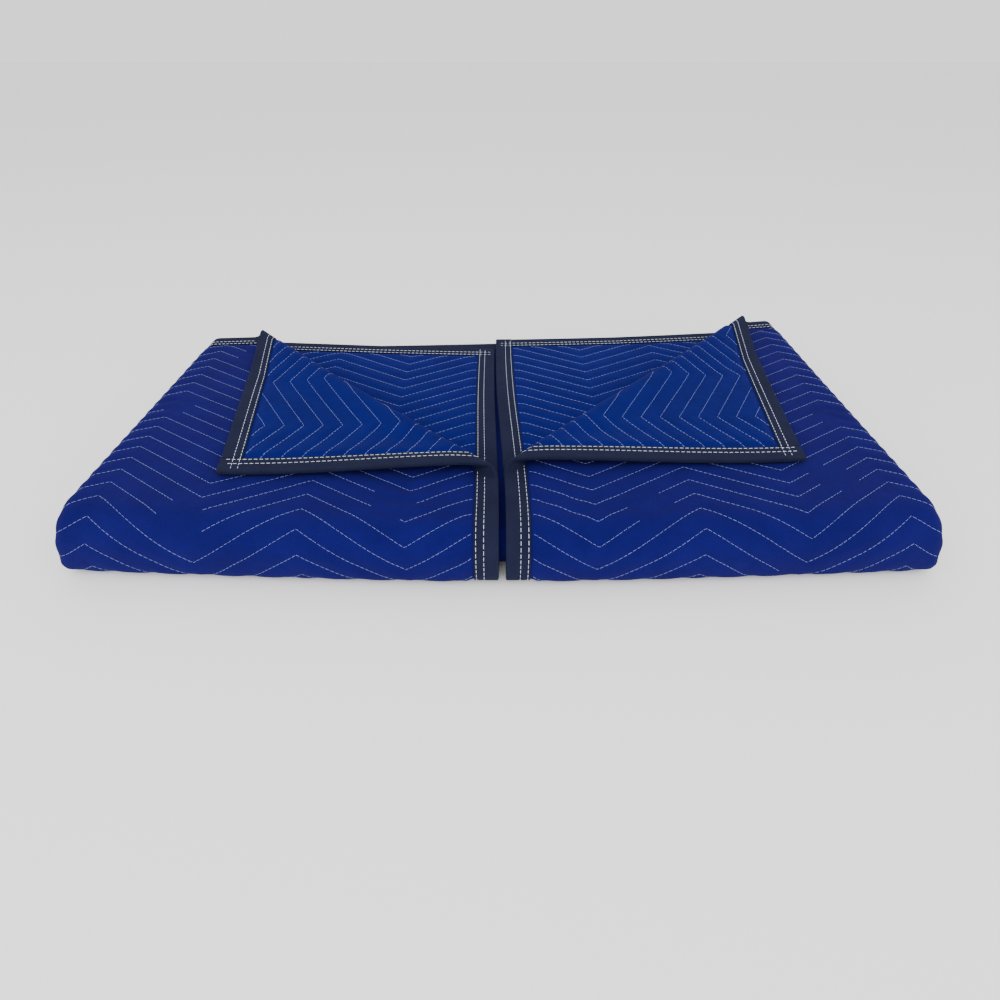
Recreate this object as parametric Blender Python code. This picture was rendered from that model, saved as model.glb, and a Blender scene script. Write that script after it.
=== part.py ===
"""A quilted moving blanket, folded to eight layers with its two top corners turned back.

The flat blanket has the coordinates u (across), v (along) and n (out of the sheet's middle,
towards its outer face). place() folds any such point: in half along v, then both sides in to
the middle, then in half again, and last each top corner back over itself.
"""

import math

import bmesh
import bpy
import numpy as np
from mathutils.geometry import delaunay_2d_cdt

# The folded blanket, in metres
HALF_WIDTH = 0.4707
PANEL_THICK = 0.0083
LAYER_GAP = 0.0010
MIDDLE_GAP = 0.010
BOTTOM_REACH = 0.451

# How far back from the front each end reaches, against the place across the flat blanket:
# -1 and 1 are the two side edges, which meet in the middle, and 0.5 is near a side fold
ACROSS, OUTER_END, INNER_END = 0, 1, 2
ENDS = np.array([
    (-1.00, 0.4250, 0.4500),
    (-0.80, 0.4430, 0.4555),
    (-0.60, 0.4610, 0.4640),
    (-0.48, 0.4500, 0.4580),
    (0.00, 0.4860, 0.4880),
    (0.48, 0.5230, 0.5120),
    (0.60, 0.5130, 0.5020),
    (0.80, 0.4910, 0.4890),
    (1.00, 0.4700, 0.4826),
])

# Turned-back corners: how far the crease starts from the corner, along the back and along the middle
LEFT, RIGHT = -1, 1
ALONG_BACK = {LEFT: 0.392, RIGHT: 0.425}
ALONG_MIDDLE = {LEFT: 0.3273, RIGHT: 0.3625}
CREASE_RADIUS_FRONT = 0.0058
CREASE_RADIUS_BACK = 0.0098
CREASE_TAIL_ANGLE = math.radians(8)
CREASE_TAIL_RADIUS = 0.060

# How far a turned-back corner's front edge lifts, and over what distances it rises and falls away
EDGE_LIFT = {LEFT: 0.0095, RIGHT: 0.0075}
LIFT_RISE = 0.045
LIFT_FALL = 0.19
LIFT_DEPTH = 0.065

# Binding tape, folded round each edge
TAPE_WIDTH = 0.0245
TAPE_THICK = 0.0009
EDGE_THICK = 0.0026
CLEARANCE = 0.0004
MARGIN = TAPE_WIDTH + 0.0006
SHOULDER = 0.010

# Zigzag quilting: rows run across, a row every ROW, and a row turns every TURN
ROW = 0.0243
TURN = 0.111
SWING = 0.063
FIRST_TURN_OUTER = 0.094
FIRST_TURN_INNER = 0.130
OUTER_ROW_PHASE = 0.0122
QUILT_DEPTH = 0.0010

# Unevenness of a hand-folded pile
SIDE_RISE = 0.10
FRONT_ARCH = 0.026
SIDE_TAPER = 0.027
FRONT_EASE = 0.30
BACK_EASE = 0.40
MIDDLE_LEAN = {LEFT: -0.0040, RIGHT: -0.0095}
MIDDLE_SHIFT = 0.0035
WAVE_HEIGHT = 0.0009
SIDE_SLOPE = 0.036
ARCH_EASE = 0.38

# How squared-off the bends are, 2 being round: side folds below and above, the front's lower half
SQUARE_BELOW = 3.4
SQUARE_ABOVE = 2.2
SQUARE_FRONT = 3.4

# Steps of the bends
SIDE_SHARES = np.array([0.0, 0.18, 0.30, 0.5, 0.70, 0.82, 1.0])
FRONT_STEPS = 9
INNER_FRONT_STEPS = 6
BACK_STEPS = 4
CREASE_STEPS = 6
MERGE = 1e-4
LINE_SAMPLES = 400
PART_SAMPLES = 120
FEWEST_SAMPLES = 4
ROWS_EACH_WAY = 45

# Straight lines and crease lines keep apart: before a turned-back corner's crease, and past it
SIDE_CLEAR = (0.012, 0.045)
END_CLEAR = (0.006, 0.036)
OPEN_EDGE = 0.012
CREASE_EDGE = 0.002
RING_CLEAR = 0.004

CLOTH_BLUE = (0.010, 0.022, 0.170)
TAPE_NAVY = (0.018, 0.022, 0.060)

# Worked out from the sizes above
PITCH = PANEL_THICK + LAYER_GAP
HALF_PAIR = (PITCH + PANEL_THICK) / 2
SECTION = 4 * HALF_PAIR + LAYER_GAP
THICK = 2 * SECTION + LAYER_GAP
SIDE_X = HALF_WIDTH - SECTION / 2
SIDE_RADIUS = SECTION / 2 - PANEL_THICK / 2
SIDE_ARC = math.pi * SIDE_RADIUS
HALF_ACROSS = 2 * SIDE_X + SIDE_ARC - MIDDLE_GAP / 2
FRONT_AXIS = THICK / 2
FRONT_RADIUS = LAYER_GAP / 2 + SECTION - PANEL_THICK / 2
FRONT_ARC = math.pi * FRONT_RADIUS
BOTTOM_FLAT = BOTTOM_REACH - FRONT_AXIS
TOP_START = BOTTOM_FLAT + FRONT_ARC
BACK_ARC = math.pi * PITCH / 4
TAPE_HALF = EDGE_THICK / 2 + CLEARANCE
TAPE_OVER = CLEARANCE + TAPE_THICK

# The quilting is raised from low on the front
SEEN_FROM = BOTTOM_FLAT + BACK_ARC + FRONT_ARC * 0.12


def smooth(value):
    step = np.clip(value, 0.0, 1.0)
    return step * step * (3 - 2 * step)


def reach(across, end):
    return np.interp(across / HALF_ACROSS, ENDS[:, ACROSS], ENDS[:, end])


def end_of(u, end):
    """Length from the first fold to the outer (v > 0) or inner (v < 0) end, along the sheet."""
    return TOP_START + reach(u, end) - FRONT_AXIS + BACK_ARC


def doubled(v, n):
    """First fold, in half: distance from the fold, and offset from the middle of the pair."""
    turn = np.clip(v / (PITCH / 2), -math.pi / 2, math.pi / 2)
    run = np.abs(v) - BACK_ARC
    along = np.where(run > 0, run, -(PITCH / 2 + n) * np.cos(turn))
    return along, (PITCH / 2 + n) * np.sin(turn)


def squared(turn, power):
    """How much farther out a squared-off bend is than a round one, at each turn of it."""
    return (np.abs(np.cos(turn)) ** power + np.abs(np.sin(turn)) ** power) ** (-1 / power)


def folded_in(u, offset, along):
    """Second fold, both sides to the middle: place across, and height within the section."""
    beyond = np.abs(u) - SIDE_X
    turn = np.clip(beyond / SIDE_RADIUS, 0, math.pi) - math.pi / 2
    power = SQUARE_BELOW + (SQUARE_ABOVE - SQUARE_BELOW) * smooth((along - BOTTOM_FLAT) / FRONT_ARC)
    radius = (SECTION / 2 - HALF_PAIR + offset) * squared(turn, power)
    x = SIDE_X + np.where(beyond > 0, radius * np.cos(turn), beyond)
    x = np.where(beyond > SIDE_ARC, SIDE_X - (beyond - SIDE_ARC), x)
    return np.sign(u) * x, SECTION / 2 + np.where(beyond > 0, radius * np.sin(turn), -radius)


def folded_over(height, along):
    """Third fold, in half over the front: place front to back, and height."""
    turn = np.clip((along - BOTTOM_FLAT) / FRONT_RADIUS, 0, math.pi) - math.pi / 2
    radius = (LAYER_GAP / 2 + height) * squared(np.minimum(turn, 0), SQUARE_FRONT)
    below = np.minimum(along - BOTTOM_FLAT, 0)
    above = np.maximum(along - TOP_START, 0)
    y = FRONT_AXIS - radius * np.cos(turn) - below + above
    return y, THICK / 2 + radius * np.sin(turn)


def crease_frame(side):
    """A turned-back corner's crease: its front end, its direction, the way to the corner, its length."""
    corner = np.array([side * MIDDLE_GAP / 2, reach(side * HALF_ACROSS, OUTER_END)])
    front = corner - (0, ALONG_MIDDLE[side])
    back_u = side * (HALF_ACROSS - ALONG_BACK[side])
    back = np.array([corner[0] + side * ALONG_BACK[side], reach(back_u, OUTER_END)])
    length = np.linalg.norm(back - front)
    direction = (back - front) / length
    to_corner = np.array([-side * direction[1], side * direction[0]])
    return front, direction, to_corner, length


def crease_radius(share):
    return CREASE_RADIUS_FRONT + (CREASE_RADIUS_BACK - CREASE_RADIUS_FRONT) * np.clip(share, -0.2, 1.2)


def crease_breaks(radius):
    """Distances past the crease at which its curve ends, its slope ends and it lies flat."""
    tail = CREASE_TAIL_ANGLE
    curve = radius * (math.pi + tail)
    drop = radius * (1 + math.cos(tail)) - PITCH - CREASE_TAIL_RADIUS * (1 - math.cos(tail))
    slope = curve + drop / math.sin(tail)
    return curve, slope, slope + CREASE_TAIL_RADIUS * tail


def turned_back(past, n, radius):
    """Profile of a turned-back corner: place across the crease, and height over the layer's middle."""
    tail = CREASE_TAIL_ANGLE
    curve, slope, flat = crease_breaks(radius)
    turn = np.clip(past / radius, 0, math.pi + tail)
    q = np.minimum(past, 0) + (radius - n) * np.sin(turn)
    h = radius - (radius - n) * np.cos(turn)
    run = np.clip(past - curve, 0, slope - curve)
    q = q - run * math.cos(tail)
    h = h - run * math.sin(tail)
    unturn = np.clip((past - slope) / CREASE_TAIL_RADIUS, 0, tail)
    wide = CREASE_TAIL_RADIUS + n
    q = q - wide * (math.sin(tail) - np.sin(tail - unturn))
    h = h - wide * (np.cos(tail - unturn) - math.cos(tail))
    return q - np.maximum(past - flat, 0), h


def corner_turned(x, y, z, n, side):
    front, direction, to_corner, length = crease_frame(side)
    from_front = np.stack([x, y], -1) - front
    along = from_front @ direction
    past = from_front @ to_corner
    q, h = turned_back(past, n, crease_radius(along / length))
    plan = front + along[..., None] * direction + q[..., None] * to_corner
    turned = past > 0
    shape = smooth(past / LIFT_RISE) * (1 - smooth((past - LIFT_RISE) / LIFT_FALL))
    curl = EDGE_LIFT[side] * shape * (1 - smooth((side * x - MIDDLE_GAP / 2) / LIFT_DEPTH))
    lifted = THICK - PANEL_THICK / 2 + h + curl
    return np.where(turned, plan[..., 0], x), np.where(turned, plan[..., 1], y), np.where(turned, lifted, z)


def uneven(x, y, z, on_flap):
    """The small departures of a pile folded by hand."""
    out = np.abs(x) / HALF_WIDTH
    low = np.clip(1 - z / THICK, 0, 1)
    front = 1 - smooth((y - FRONT_AXIS) / FRONT_EASE)
    back = smooth((y - FRONT_AXIS) / BACK_EASE) * (z > THICK / 2)
    lean = np.where(x < 0, MIDDLE_LEAN[LEFT], MIDDLE_LEAN[RIGHT])
    wave = np.sin(8 * x + 5 * y + 0.6) + 0.7 * np.sin(12 * x - 6 * y + 2.0)
    new_x = x * (1 - SIDE_TAPER * y + SIDE_SLOPE * (low - 0.5) * out ** 4)
    middle = np.clip(1 - np.abs(x) / SIDE_X, 0, 1)
    new_x = new_x + (on_flap * back * lean + MIDDLE_SHIFT * front) * middle
    new_y = y + FRONT_ARCH * front * out ** 1.5 * (1 - ARCH_EASE * low)
    return new_x, new_y, z * (1 + SIDE_RISE * out ** 2) + WAVE_HEIGHT * wave * z / THICK


def place(u, v, n):
    """The folded place of flat points u, v at n from the sheet's middle."""
    u, v, n = np.broadcast_arrays(*(np.asarray(value, float) for value in (u, v, n)))
    along, offset = doubled(v, n)
    x, height = folded_in(u, offset, along)
    y, z = folded_over(height, along)
    on_flap = np.abs(u) > SIDE_X + SIDE_ARC
    for side in (LEFT, RIGHT):
        mine = (v > 0) & on_flap & (np.sign(u) == side) & (along > TOP_START)
        turned = corner_turned(x, y, z, n, side)
        x, y, z = (np.where(mine, new, old) for new, old in zip(turned, (x, y, z)))
    return np.stack(uneven(x, y, z, on_flap), -1)


def turn_shift(u, v):
    """How far a zigzag row is off its middle line at u, v."""
    from_edge = HALF_ACROSS - np.abs(u)
    first_inner = FIRST_TURN_INNER - TURN
    first = first_inner + (FIRST_TURN_OUTER - first_inner) * smooth(v / 0.7 + 0.5)
    cycle = ((from_edge - first) / TURN) % 2
    return SWING * (np.abs(cycle - 1) * -1 + 0.5)


def row_count(u, v):
    return (v - OUTER_ROW_PHASE - turn_shift(u, v)) / ROW


def plan(u, v):
    """Place in the plan of the top layers' flat part."""
    side = np.where(u < 0, LEFT, RIGHT)
    return side * (HALF_ACROSS + MIDDLE_GAP / 2 - np.abs(u)), np.abs(v) - BACK_ARC - TOP_START + FRONT_AXIS


def past_crease(u, v, side):
    """Distance past a turned-back corner's crease, and how far its mirror image is inside the sheet."""
    front, direction, to_corner, length = crease_frame(side)
    point = np.stack(plan(u, v), -1)
    past = (point - front) @ to_corner
    mirrored = point - 2 * past[..., None] * to_corner
    from_side = side * mirrored[..., 0] - MIDDLE_GAP / 2
    from_end = reach(side * (HALF_ACROSS - from_side), OUTER_END) - mirrored[..., 1]
    return past, np.minimum(from_side, from_end)


OUTER_FACE, INNER_FACE = 1, -1


def quilting_shows(u, v, face):
    """Where the quilting is raised: on the outside over the front and top, and in the open corners."""
    shows = np.zeros(np.shape(u), bool)
    for side in (LEFT, RIGHT):
        past, mirror_inside = past_crease(u, v, side)
        mine = np.where(u < 0, LEFT, RIGHT) == side
        if face == OUTER_FACE:
            open_top = (past < 0) & (mirror_inside < OPEN_EDGE)
            shows |= mine & (v > SEEN_FROM) & (np.abs(u) > SIDE_X) & (open_top | (v < FRONT_LINES[-1]))
        else:
            shows |= mine & (past > np.where(v > 0, -CREASE_EDGE, -OPEN_EDGE))
    return shows


def quilt_dip(u, v, face):
    """Depth of the quilting: full on a row's thread, none midway between rows."""
    off_row = np.abs(row_count(u, v) - np.round(row_count(u, v)))
    return QUILT_DEPTH * (1 - 2 * off_row) * quilting_shows(u, v, face)


def from_edges(u, v):
    """Distance from the nearest edge of the flat blanket."""
    end = np.where(v > 0, end_of(u, OUTER_END), end_of(u, INNER_END))
    return np.minimum(HALF_ACROSS - np.abs(u), end - np.abs(v))


def half_thickness(u, v, face):
    full = smooth((from_edges(u, v) - MARGIN) / SHOULDER + 0.02)
    return EDGE_THICK / 2 + (PANEL_THICK / 2 - EDGE_THICK / 2 - quilt_dip(u, v, face)) * full


def crease_lines(side):
    """Lines in u, v along a turned-back corner's crease, one at each step of its bend."""
    front, direction, to_corner, length = crease_frame(side)
    lines = []
    for step in range(CREASE_STEPS + 4):
        ends = []
        for share in (-0.12, 1.12):
            curve, slope, flat = crease_breaks(crease_radius(share))
            past = (curve * step / CREASE_STEPS if step <= CREASE_STEPS
                    else (slope, (slope + flat) / 2, flat)[step - CREASE_STEPS - 1])
            x, y = front + share * length * direction + past * to_corner
            ends.append((side * (HALF_ACROSS + MIDDLE_GAP / 2 - side * x),
                         y - FRONT_AXIS + TOP_START + BACK_ARC))
        lines.append(np.array(ends))
    return lines


def crossing(line, depth, level):
    """The point of a u, v line at which its depth(u, v) passes a level."""
    shares = np.linspace(0, 1, LINE_SAMPLES)
    points = line[0] + shares[:, None] * (line[1] - line[0])
    depths = depth(points[:, 0], points[:, 1])
    order = np.argsort(depths)
    share = np.interp(level, depths[order], shares[order])
    return line[0] + share * (line[1] - line[0])


def side_inside(u, v):
    return HALF_ACROSS - np.abs(u)


def end_inside(u, v):
    return end_of(u, OUTER_END) - v


# Regular lines of the sheet: along v at the bends and between them, and across
def bend(start, length, steps):
    return start + length * np.arange(steps + 1) / steps


FRONT_LINES = bend(BOTTOM_FLAT + BACK_ARC, FRONT_ARC, FRONT_STEPS)
BACK_LINES = bend(-BACK_ARC, 2 * BACK_ARC, BACK_STEPS)
BOTTOM_LINES = BACK_ARC + BOTTOM_FLAT * np.array([0.25, 0.5, 0.75])
TOP_LINES = TOP_START + BACK_ARC + np.array([0.09, 0.18, 0.27, 0.345])
EDGE_LINES = TOP_START + BACK_ARC + np.array([0.135, 0.225, 0.31])
INNER_FRONT_LINES = -bend(BOTTOM_FLAT + BACK_ARC, FRONT_ARC, INNER_FRONT_STEPS)
SIDE_LINES = SIDE_X + SIDE_ARC * SIDE_SHARES
BASE_LINES = np.array([0.0, 0.115, 0.23, 0.345])
FLAP_LINES = HALF_ACROSS - np.array([0.09, 0.18, 0.27, 0.36])


def side_stations(side):
    """Where lines cross a side edge: place along v, and how far it slants for each metre in."""
    straight = np.concatenate([
        -TOP_LINES, INNER_FRONT_LINES, -BOTTOM_LINES, BACK_LINES, BOTTOM_LINES, FRONT_LINES, TOP_LINES,
        EDGE_LINES])
    slanted = []
    for line in crease_lines(side):
        edge = crossing(line, side_inside, 0.0)
        inner = crossing(line, side_inside, MARGIN)
        slanted.append((edge[1], (inner[1] - edge[1]) / MARGIN))
    first, last = slanted[0][0] - SIDE_CLEAR[0], slanted[-1][0] + SIDE_CLEAR[1]
    kept = [(v, 0.0) for v in straight if not first < v < last]
    edge_u, inner_u = side * HALF_ACROSS, side * (HALF_ACROSS - MARGIN)
    for sign, end in ((1, OUTER_END), (-1, INNER_END)):
        slant = sign * (end_of(inner_u, end) - end_of(edge_u, end)) / MARGIN
        kept.extend((sign * (end_of(edge_u, end) - inset), slant) for inset in (MARGIN, MARGIN + SHOULDER))
    return sorted(kept + slanted)


def end_stations(end):
    """Where lines cross an end edge: place across u, and how far it slants for each metre in."""
    half = np.concatenate([BASE_LINES, SIDE_LINES, FLAP_LINES, [HALF_ACROSS - MARGIN - SHOULDER]])
    straight = np.unique(np.concatenate([-half, half]))
    if end == INNER_END:
        return [(u, 0.0) for u in straight]
    stations = []
    for side in (LEFT, RIGHT):
        for line in crease_lines(side):
            edge = crossing(line, end_inside, 0.0)
            inner = crossing(line, end_inside, MARGIN)
            stations.append((edge[0], (inner[0] - edge[0]) / MARGIN))
    slanted = np.array(stations).reshape(2, -1, 2)
    for side, lines in zip((LEFT, RIGHT), slanted):
        reached = side * lines[:, 0]
        first, last = reached.min() - END_CLEAR[0], reached.max() + END_CLEAR[1]
        straight = [u for u in straight if not first < side * u < last]
    return sorted([(u, 0.0) for u in straight] + stations)


def kept_parts(start, finish, keep):
    """The parts of a straight line in u, v on which keep(u, v) holds."""
    share = np.linspace(0, 1, PART_SAMPLES)[:, None]
    points = np.array(start) + share * np.subtract(finish, start)
    inside = np.concatenate([[False], keep(*points.T), [False]])
    changes = np.flatnonzero(inside[1:] != inside[:-1]).reshape(-1, 2)
    return [[points[first], points[last - 1]] for first, last in changes if last - first > FEWEST_SAMPLES]


def zigzag_rows(face):
    """The rows of thread, and the ridges midway between them, where the quilting is raised."""
    lines = []
    near, far = MARGIN + SHOULDER, HALF_ACROSS - SIDE_X
    for sign, end, first in ((1, OUTER_END, FIRST_TURN_OUTER), (-1, INNER_END, FIRST_TURN_INNER)):

        def keep(u, v):
            return quilting_shows(u, v, face) & (end_of(u, end) - sign * v > near) & (sign * v > SEEN_FROM)

        turns = first + TURN * np.arange(4)
        places = np.concatenate([[near], turns[turns < far], [far]])
        for u in (-HALF_ACROSS + places, HALF_ACROSS - places):
            for half_row in range(-2 * ROWS_EACH_WAY, 2 * ROWS_EACH_WAY):
                v = OUTER_ROW_PHASE + turn_shift(u, np.full(len(u), sign * SEEN_FROM)) + half_row * ROW / 2
                for i in range(len(u) - 1):
                    lines.extend(kept_parts((u[i], v[i]), (u[i + 1], v[i + 1]), keep))
    return lines


def sheet_lines(face):
    """Every line that one face of the panel has to follow, in u, v."""
    lines = []

    def plain(u, v):
        return ~quilting_shows(u, v, face) & (from_edges(u, v) > MARGIN + SHOULDER)

    for end, sign in ((OUTER_END, 1), (INNER_END, -1)):
        for inset in (0.0, MARGIN, MARGIN + SHOULDER):
            inner = [u + slant * inset for u, slant in end_stations(end)]
            u = np.array([-HALF_ACROSS] + inner + [HALF_ACROSS])
            lines.append(np.stack([u, sign * (end_of(u, end) - inset)], -1))
        for u, slant in end_stations(end):
            ends = np.array([u, u + slant * MARGIN])
            lines.append(np.stack([ends, sign * (end_of(ends, end) - (0, MARGIN))], -1))
    for side in (LEFT, RIGHT):
        u_edge = side * HALF_ACROSS
        low, high = -end_of(u_edge, INNER_END), end_of(u_edge, OUTER_END)
        for inset in (0.0, MARGIN, MARGIN + SHOULDER):
            v = np.array([low] + [v + slant * inset for v, slant in side_stations(side)] + [high])
            lines.append(np.stack([np.full(len(v), u_edge - side * inset), v], -1))
        for v, slant in side_stations(side):
            lines.append([(u_edge, v), (u_edge - side * MARGIN, v + slant * MARGIN)])
        for u in side * SIDE_LINES:
            lines.append([(u, -end_of(u, INNER_END)), (u, end_of(u, OUTER_END))])
        for u in side * FLAP_LINES:
            lines.extend(kept_parts((u, -end_of(u, INNER_END)), (u, end_of(u, OUTER_END)), plain))
        lines.extend(crease_lines(side))
    for u in np.unique(np.concatenate([-BASE_LINES, BASE_LINES])):
        lines.append([(u, -end_of(u, INNER_END)), (u, end_of(u, OUTER_END))])
    whole = [FRONT_LINES, INNER_FRONT_LINES, BACK_LINES, BOTTOM_LINES, -BOTTOM_LINES, -TOP_LINES]
    for v in np.concatenate(whole):
        lines.append([(-HALF_ACROSS, v), (HALF_ACROSS, v)])
    for v in TOP_LINES:
        lines.extend(kept_parts((-HALF_ACROSS, v), (HALF_ACROSS, v), plain))
    return lines + zigzag_rows(face)


def face_mesh(face):
    """One face of the panel: its points in the flat blanket, its triangles and its rim's edges."""
    points, edges = [], []
    for line in sheet_lines(face):
        first = len(points)
        points.extend(tuple(point) for point in line)
        edges.extend((first + i, first + i + 1) for i in range(len(line) - 1))
    found = delaunay_2d_cdt(points, edges, [], 0, MERGE)
    flat = np.array([tuple(point) for point in found[0]])
    triangles = np.array(found[2])
    middle = flat[triangles].mean(1)
    triangles = triangles[from_edges(middle[:, 0], middle[:, 1]) > MERGE / 4]
    used, triangles = np.unique(triangles, return_inverse=True)
    triangles = triangles.reshape(-1, 3)
    sides = np.concatenate([triangles[:, [0, 1]], triangles[:, [1, 2]], triangles[:, [2, 0]]])
    _, index, times = np.unique(np.sort(sides, 1), axis=0, return_inverse=True, return_counts=True)
    return flat[used], triangles, sides[times[index.reshape(-1)] == 1]


def panel_shape():
    """The quilted sheet: its outer face, its inner face, and the cut edge between them."""
    outer, outer_faces, rim = face_mesh(OUTER_FACE)
    inner, inner_faces, inner_rim = face_mesh(INNER_FACE)
    inner_ends = np.unique(inner_rim)
    apart = np.linalg.norm(outer[rim][:, :, None] - inner[inner_ends], axis=-1)
    across = inner_ends[apart.argmin(-1)] + len(outer)
    walls = np.stack([rim[:, 1], rim[:, 0], across[:, 0], across[:, 1]], -1)
    points = [place(*flat.T, face * half_thickness(*flat.T, face))
              for flat, face in ((outer, OUTER_FACE), (inner, INNER_FACE))]
    faces = outer_faces.tolist() + (inner_faces[:, ::-1] + len(outer)).tolist() + walls.tolist()
    return np.concatenate(points), faces


# The binding's section: distance in from the edge, and offset from the sheet's middle
OUTSIDE = TAPE_HALF + TAPE_THICK
TAPE_IN = np.array([
    TAPE_WIDTH, -TAPE_OVER, -TAPE_OVER, TAPE_WIDTH, TAPE_WIDTH, -CLEARANCE, -CLEARANCE, TAPE_WIDTH])
TAPE_N = np.array([OUTSIDE, OUTSIDE, -OUTSIDE, -OUTSIDE, -TAPE_HALF, -TAPE_HALF, TAPE_HALF, TAPE_HALF])
IS_INNER = np.arange(8) > 3


def side_tape_shape(side):
    """Binding of a side edge, closed over the blanket's corners."""
    u = side * (HALF_ACROSS - TAPE_IN)
    rings = []
    for sign, end in ((-1, INNER_END), (1, OUTER_END)):
        beyond = np.where(IS_INNER, CLEARANCE, TAPE_OVER)
        rings.append(place(u, sign * (end_of(u, end) + beyond), TAPE_N))
    stations = [place(u, v + slant * TAPE_IN, TAPE_N) for v, slant in side_stations(side)]
    return tube(rings[:1] + stations + rings[1:], closed_cavity=True)


def end_tape_shape(end):
    """Binding of an end edge, from one side binding to the other."""
    sign = 1 if end == OUTER_END else -1
    last = HALF_ACROSS - TAPE_WIDTH - 2 * CLEARANCE
    stations = [(u, slant) for u, slant in end_stations(end) if abs(u) < last - RING_CLEAR]
    rings = []
    for across, slant in [(-last, 0.0)] + stations + [(last, 0.0)]:
        u = across + slant * TAPE_IN
        rings.append(place(u, sign * (end_of(u, end) - TAPE_IN), TAPE_N))
    return tube(rings, closed_cavity=False)


def tube(rings, closed_cavity):
    """A strip through rings of the binding's eight points."""
    faces = []
    for ring in range(len(rings) - 1):
        for side in range(8):
            a, b = 8 * ring + side, 8 * ring + (side + 1) % 8
            faces.append((a, b, b + 8, a + 8))
    for first, flip in ((0, 1), (8 * (len(rings) - 1), -1)):
        if closed_cavity:
            caps = [(0, 1, 2, 3), (4, 5, 6, 7), (0, 3, 4, 7)]
        else:
            caps = [(0, 7, 6, 1), (1, 6, 5, 2), (2, 5, 4, 3)]
        for cap in caps:
            faces.append(tuple(first + i for i in cap))
    return np.concatenate(rings), faces


def triangulated(points, faces):
    """Triangles facing outwards, from faces of three or four corners in any winding."""
    shape = bmesh.new()
    corners = [shape.verts.new(point) for point in points]
    for face in faces:
        shape.faces.new([corners[i] for i in face])
    bmesh.ops.triangulate(shape, faces=shape.faces[:])
    bmesh.ops.recalc_face_normals(shape, faces=shape.faces[:])
    return shape


def cloth(name, colour, roughness):
    material = bpy.data.materials.new(name)
    material.use_nodes = True
    shader = material.node_tree.nodes["Principled BSDF"]
    shader.inputs["Base Color"].default_value = (*colour, 1)
    shader.inputs["Roughness"].default_value = roughness
    shader.inputs["Metallic"].default_value = 0.0
    return material


def add_node(name, points, faces, material):
    shape = triangulated(points, faces)
    mesh = bpy.data.meshes.new(name)
    shape.to_mesh(mesh)
    shape.free()
    mesh.materials.append(material)
    node = bpy.data.objects.new(name, mesh)
    bpy.context.scene.collection.objects.link(node)
    return node


def main():
    for old in list(bpy.data.objects):
        bpy.data.objects.remove(old)
    blue = cloth("quilted cloth", CLOTH_BLUE, 0.85)
    navy = cloth("binding tape", TAPE_NAVY, 0.8)
    shapes = {"quilted_panel": panel_shape()}
    shapes["end_binding_outer"] = end_tape_shape(OUTER_END)
    shapes["end_binding_inner"] = end_tape_shape(INNER_END)
    shapes["side_binding_left"] = side_tape_shape(LEFT)
    shapes["side_binding_right"] = side_tape_shape(RIGHT)
    everything = np.concatenate([points for points, faces in shapes.values()])
    low, high = everything.min(0), everything.max(0)
    origin = np.array([(low[0] + high[0]) / 2, (low[1] + high[1]) / 2, low[2]])
    for name, (points, faces) in shapes.items():
        add_node(name, points - origin, faces, blue if name == "quilted_panel" else navy)


main()
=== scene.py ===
"""Looks of the folded moving blanket: its two quilted faces, its bindings and every stitch.

The flat blanket has the coordinates u (across), v (along) and n (out of the sheet's middle,
towards its outer face). place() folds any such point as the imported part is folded, so the fine
cloth, the tape and the thread all lie where the solids are.
"""

import math

import bpy
import numpy as np
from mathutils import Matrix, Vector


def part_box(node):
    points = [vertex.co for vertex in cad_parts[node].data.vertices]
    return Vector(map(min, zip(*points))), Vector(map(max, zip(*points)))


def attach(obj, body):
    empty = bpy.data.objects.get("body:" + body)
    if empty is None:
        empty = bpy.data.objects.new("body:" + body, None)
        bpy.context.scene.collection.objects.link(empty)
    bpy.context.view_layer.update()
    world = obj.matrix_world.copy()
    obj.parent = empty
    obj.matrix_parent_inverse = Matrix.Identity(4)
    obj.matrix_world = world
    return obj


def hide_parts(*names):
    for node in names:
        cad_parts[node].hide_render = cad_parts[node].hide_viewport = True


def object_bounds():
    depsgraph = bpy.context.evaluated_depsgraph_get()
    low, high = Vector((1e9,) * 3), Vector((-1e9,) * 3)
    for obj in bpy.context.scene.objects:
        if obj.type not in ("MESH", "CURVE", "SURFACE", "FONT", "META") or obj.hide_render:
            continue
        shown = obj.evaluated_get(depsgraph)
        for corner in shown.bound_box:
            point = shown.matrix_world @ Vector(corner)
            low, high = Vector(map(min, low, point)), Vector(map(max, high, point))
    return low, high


# The folded blanket, in metres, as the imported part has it
HALF_WIDTH = 0.4707
PANEL_THICK = 0.0083
LAYER_GAP = 0.0010
MIDDLE_GAP = 0.010
BOTTOM_REACH = 0.451
ACROSS, OUTER_END, INNER_END = 0, 1, 2
ENDS = np.array([
    (-1.00, 0.4250, 0.4500),
    (-0.80, 0.4430, 0.4555),
    (-0.60, 0.4610, 0.4640),
    (-0.48, 0.4500, 0.4580),
    (0.00, 0.4860, 0.4880),
    (0.48, 0.5230, 0.5120),
    (0.60, 0.5130, 0.5020),
    (0.80, 0.4910, 0.4890),
    (1.00, 0.4700, 0.4826),
])

# Turned-back corners
LEFT, RIGHT = -1, 1
ALONG_BACK = {LEFT: 0.392, RIGHT: 0.425}
ALONG_MIDDLE = {LEFT: 0.3273, RIGHT: 0.3625}
CREASE_RADIUS_FRONT = 0.0058
CREASE_RADIUS_BACK = 0.0098
CREASE_TAIL_ANGLE = math.radians(8)
CREASE_TAIL_RADIUS = 0.060
CREASE_PAST_ENDS = 0.2

# How far a turned-back corner's front edge lifts, and over what distances it rises and falls away
EDGE_LIFT = {LEFT: 0.0095, RIGHT: 0.0075}
LIFT_RISE = 0.045
LIFT_FALL = 0.19
LIFT_DEPTH = 0.065

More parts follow.
